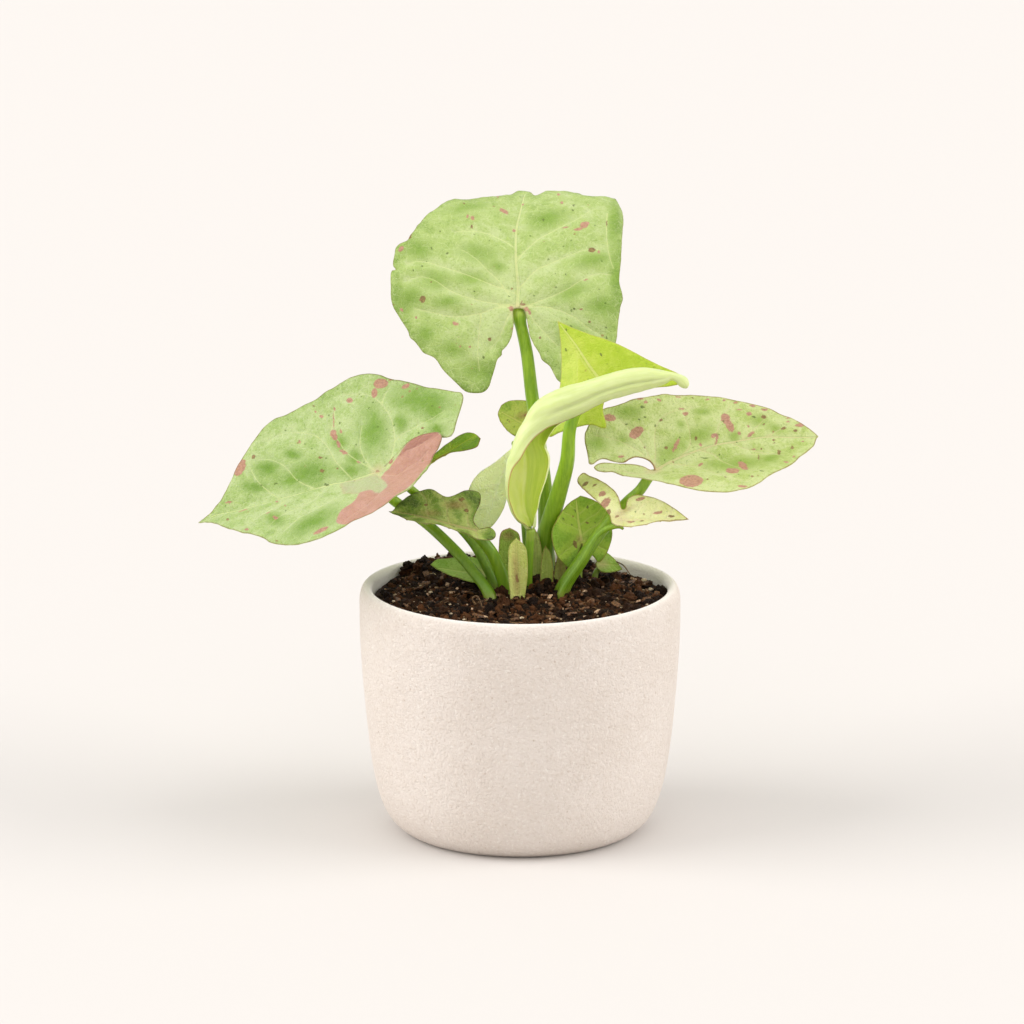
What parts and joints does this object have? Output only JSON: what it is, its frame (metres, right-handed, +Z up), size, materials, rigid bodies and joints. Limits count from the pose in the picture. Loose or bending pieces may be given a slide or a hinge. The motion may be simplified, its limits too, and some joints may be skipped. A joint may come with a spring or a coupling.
{
  "type": "potted syngonium",
  "caption": "Young syngonium with pale green, pink-splashed arrow-shaped leaves, growing in dark soil in a round cream stoneware pot.",
  "frame": {"origin": "middle of the pot's flat base, where it rests", "axes": "+Z up, -Y towards the side the plant is seen from, +X to that viewer's right"},
  "size_m": [0.2343, 0.1523, 0.2291],
  "materials": {
    "cream_stoneware": "matte, fine sandy grain",
    "potting_soil": "dark crumbly potting mix, dry and matt",
    "pale_green_leaf": "soft satin leaf, pink blotches",
    "yellow_green_leaf": "soft satin new leaf",
    "dark_green_leaf": "satin leaf",
    "pink_splashed_leaf": "satin leaf, pink blotches",
    "pale_sheath": "thin papery sheath",
    "green_stem": "smooth satin stem"
  },
  "bodies": {
    "root": {"pot": "cream_stoneware", "soil": "potting_soil", "top_leaf": "pale_green_leaf", "left_leaf": "pale_green_leaf", "right_leaf": "pale_green_leaf", "yellow_leaf": "yellow_green_leaf", "drooping_leaf": "yellow_green_leaf", "rolled_leaf": "yellow_green_leaf", "folded_leaf": "pink_splashed_leaf", "dark_leaf": "dark_green_leaf", "round_leaf": "dark_green_leaf", "back_leaf": "dark_green_leaf", "young_leaf": "dark_green_leaf", "low_left_leaf": "dark_green_leaf", "low_right_leaf": "dark_green_leaf", "green_sheath": "dark_green_leaf", "front_sheath": "pale_sheath", "wing_sheath": "pale_sheath", "outer_sheath": "pale_sheath", "inner_sheath": "pale_sheath", "top_leaf_stem": "green_stem", "left_leaf_stem": "green_stem", "right_leaf_stem": "green_stem", "yellow_leaf_stem": "green_stem", "rolled_leaf_stem": "green_stem", "drooping_leaf_stem": "green_stem", "dark_leaf_stem": "green_stem", "folded_leaf_stem": "green_stem", "round_leaf_stem": "green_stem", "back_leaf_stem": "green_stem", "young_leaf_stem": "green_stem", "low_left_leaf_stem": "green_stem", "low_right_leaf_stem": "green_stem"}
  },
  "joints": []
}
